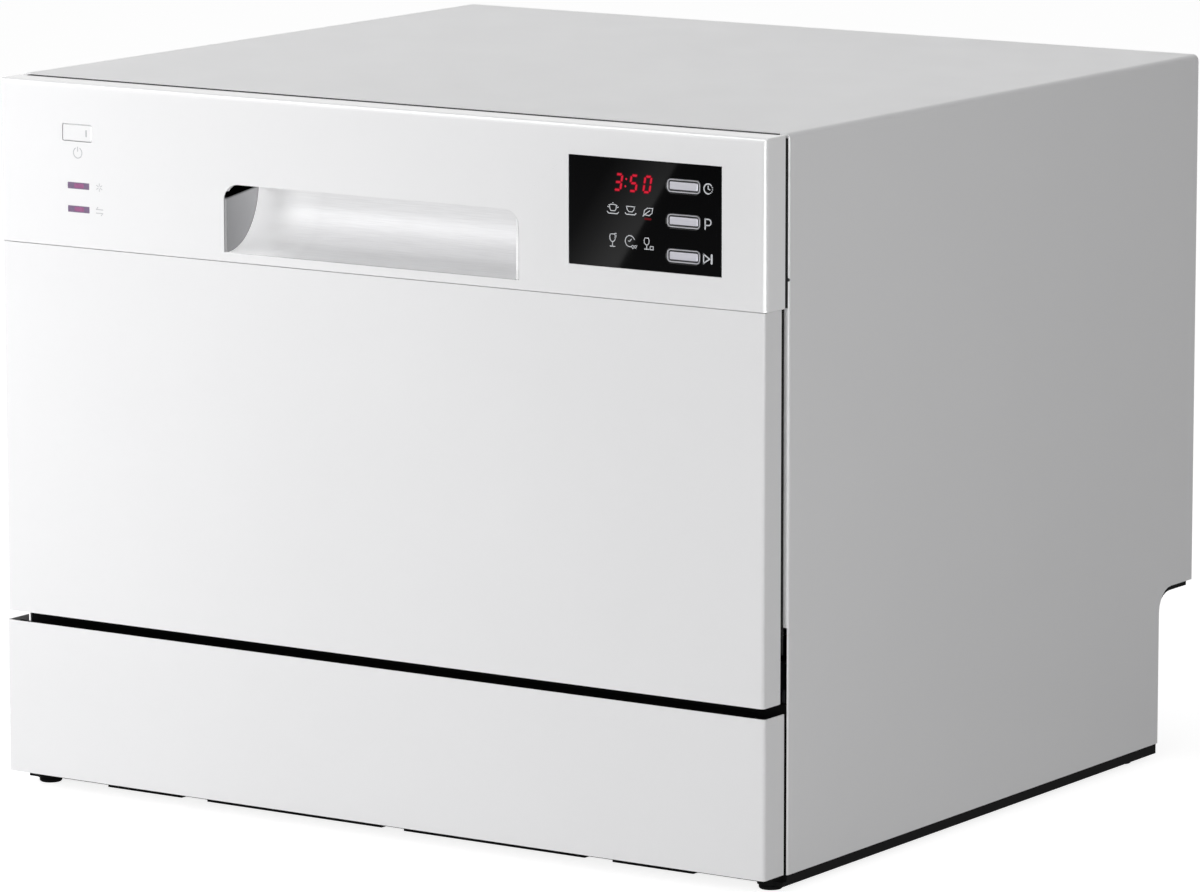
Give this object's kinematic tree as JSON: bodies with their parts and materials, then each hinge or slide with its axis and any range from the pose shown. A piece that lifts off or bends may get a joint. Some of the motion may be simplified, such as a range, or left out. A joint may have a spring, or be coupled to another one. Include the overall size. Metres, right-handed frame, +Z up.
{
  "type": "countertop dishwasher",
  "caption": "Countertop dishwasher with a drop-down door that carries a recessed handle, display window and keys, and a roller rack with folding cup shelves over a spray arm.",
  "frame": {"origin": "centre of the footprint, on the worktop under the feet", "axes": "+X to the right of a person facing the door, -Y out through the door, +Z up"},
  "size_m": [0.55, 0.5, 0.438],
  "materials": {
    "white_paint": "satin",
    "white_plastic": "satin",
    "black_plastic": "matte",
    "stainless": "brushed",
    "zinc_steel": "satin",
    "bright_steel": "polished",
    "silver_plastic": "satin",
    "rubber": "matte",
    "window": "polished",
    "grey_plastic": "matte",
    "light_plastic": "matte",
    "blue_plastic": "matte",
    "circuit": "satin",
    "violet_lens": "polished",
    "rack_coating": "satin"
  },
  "bodies": {
    "cabinet": {"outer_wrapper": "white_paint", "rear_panel": "zinc_steel", "rear_screws": "bright_steel", "base_tray": "black_plastic", "plinth_panel": "white_paint", "tub_shell": "stainless", "tub_floor": "grey_plastic", "door_gasket": "rubber", "hinge_bracket_left": "zinc_steel", "hinge_bracket_right": "zinc_steel", "hinge_pins": "bright_steel", "door_spring_left": "bright_steel", "door_spring_right": "bright_steel", "lock_strike": "bright_steel", "sump_housing": "grey_plastic", "spray_hub": "grey_plastic", "filter_plate": "stainless", "circulation_pump": "zinc_steel", "drain_pump": "zinc_steel", "heater_element": "zinc_steel", "inlet_valve": "light_plastic", "inlet_hose": "rubber", "air_breather": "light_plastic", "softener_hose": "rubber", "water_softener": "light_plastic", "drain_outlet": "black_plastic", "drain_hose": "rubber", "float_switch": "light_plastic", "cord_gland": "black_plastic"},
    "foot_front_left": {"foot_front_left": "black_plastic"},
    "foot_front_right": {"foot_front_right": "black_plastic"},
    "foot_rear_left": {"foot_rear_left": "black_plastic"},
    "foot_rear_right": {"foot_rear_right": "black_plastic"},
    "filter_cup": {"filter_cup": "light_plastic"},
    "salt_cap": {"salt_cap": "blue_plastic"},
    "spray_arm": {"spray_arm": "grey_plastic"},
    "door": {"control_fascia": "white_plastic", "handle_cup": "silver_plastic", "display_window": "window", "control_boards": "circuit", "indicator_lenses": "violet_lens", "door_lock": "black_plastic", "door_panel": "white_paint", "door_liner": "stainless", "liner_screws": "bright_steel", "hinge_arm_left": "zinc_steel", "hinge_arm_right": "zinc_steel", "dispenser_body": "light_plastic"},
    "dispenser_flap": {"dispenser_flap": "grey_plastic"},
    "rinse_aid_cap": {"rinse_aid_cap": "blue_plastic"},
    "power_button": {"power_button": "white_plastic"},
    "delay_button": {"delay_button": "silver_plastic"},
    "program_button": {"program_button": "silver_plastic"},
    "start_button": {"start_button": "silver_plastic"},
    "rack": {"dish_basket": "rack_coating", "cutlery_basket": "grey_plastic"},
    "front_rollers": {"front_rollers": "grey_plastic"},
    "rear_rollers": {"rear_rollers": "grey_plastic"},
    "cup_shelf_left": {"cup_shelf_left": "rack_coating"},
    "cup_shelf_right": {"cup_shelf_right": "rack_coating"}
  },
  "joints": [
    {"name": "door_hinge", "type": "hinge", "parent": "cabinet", "child": "door", "pos_m": [0, -0.238, 0.124], "axis": [1, 0, 0], "range_deg": [0, 90], "deforming": ["door_spring_left", "door_spring_right"]},
    {"name": "rack_slide", "type": "slide", "parent": "cabinet", "child": "rack", "axis": [0, -1, 0], "range_m": [0, 0.1289]},
    {"name": "front_roller_spin", "type": "hinge", "parent": "rack", "child": "front_rollers", "pos_m": [0, -0.105, 0.167], "axis": [1, 0, 0], "range_deg": [0, 616]},
    {"name": "rear_roller_spin", "type": "hinge", "parent": "rack", "child": "rear_rollers", "pos_m": [0, 0.14, 0.167], "axis": [1, 0, 0], "range_deg": [0, 616]},
    {"name": "cup_shelf_left_fold", "type": "hinge", "parent": "rack", "child": "cup_shelf_left", "pos_m": [-0.214, 0, 0.294], "axis": [0, -1, 0], "range_deg": [0, 80]},
    {"name": "cup_shelf_right_fold", "type": "hinge", "parent": "rack", "child": "cup_shelf_right", "pos_m": [0.214, 0, 0.294], "axis": [0, 1, 0], "range_deg": [0, 80]},
    {"name": "spray_arm_spin", "type": "hinge", "parent": "cabinet", "child": "spray_arm", "pos_m": [0, 0.012, 0.1665], "axis": [0, 0, 1], "continuous": true},
    {"name": "filter_cup_twist", "type": "hinge", "parent": "cabinet", "child": "filter_cup", "pos_m": [0, -0.062, 0.139], "axis": [0, 0, 1], "range_deg": [0, 45]},
    {"name": "salt_cap_turn", "type": "hinge", "parent": "cabinet", "child": "salt_cap", "pos_m": [-0.165, 0.15, 0.147], "axis": [0, 0, 1], "range_deg": [0, 180]},
    {"name": "dispenser_flap_hinge", "type": "hinge", "parent": "door", "child": "dispenser_flap", "pos_m": [-0.071, -0.208, 0.293], "axis": [0, 0, 1], "range_deg": [0, 100]},
    {"name": "rinse_aid_cap_turn", "type": "hinge", "parent": "door", "child": "rinse_aid_cap", "pos_m": [0.04, -0.21, 0.293], "axis": [0, 1, 0], "range_deg": [0, 90]},
    {"name": "power_button_press", "type": "slide", "parent": "door", "child": "power_button", "axis": [0, 1, 0], "range_m": [0, 0.002], "stiffness_N_per_m": 250},
    {"name": "delay_button_press", "type": "slide", "parent": "door", "child": "delay_button", "axis": [0, 1, 0], "range_m": [0, 0.001], "stiffness_N_per_m": 250},
    {"name": "program_button_press", "type": "slide", "parent": "door", "child": "program_button", "axis": [0, 1, 0], "range_m": [0, 0.001], "stiffness_N_per_m": 250},
    {"name": "start_button_press", "type": "slide", "parent": "door", "child": "start_button", "axis": [0, 1, 0], "range_m": [0, 0.001], "stiffness_N_per_m": 250},
    {"name": "foot_front_left_turn", "type": "hinge", "parent": "cabinet", "child": "foot_front_left", "pos_m": [-0.262, -0.224, 0.01], "axis": [0, 0, 1], "continuous": true},
    {"name": "foot_front_right_turn", "type": "hinge", "parent": "cabinet", "child": "foot_front_right", "pos_m": [0.262, -0.224, 0.01], "axis": [0, 0, 1], "continuous": true},
    {"name": "foot_rear_left_turn", "type": "hinge", "parent": "cabinet", "child": "foot_rear_left", "pos_m": [-0.262, 0.1845, 0.01], "axis": [0, 0, 1], "continuous": true},
    {"name": "foot_rear_right_turn", "type": "hinge", "parent": "cabinet", "child": "foot_rear_right", "pos_m": [0.262, 0.1845, 0.01], "axis": [0, 0, 1], "continuous": true}
  ],
  "couplings": [
    {"joint": "rack_slide", "follows": "door_hinge", "m_per_rad": 0.082},
    {"joint": "front_roller_spin", "follows": "door_hinge", "ratio": 6.8333},
    {"joint": "rear_roller_spin", "follows": "door_hinge", "ratio": 6.8333}
  ]
}
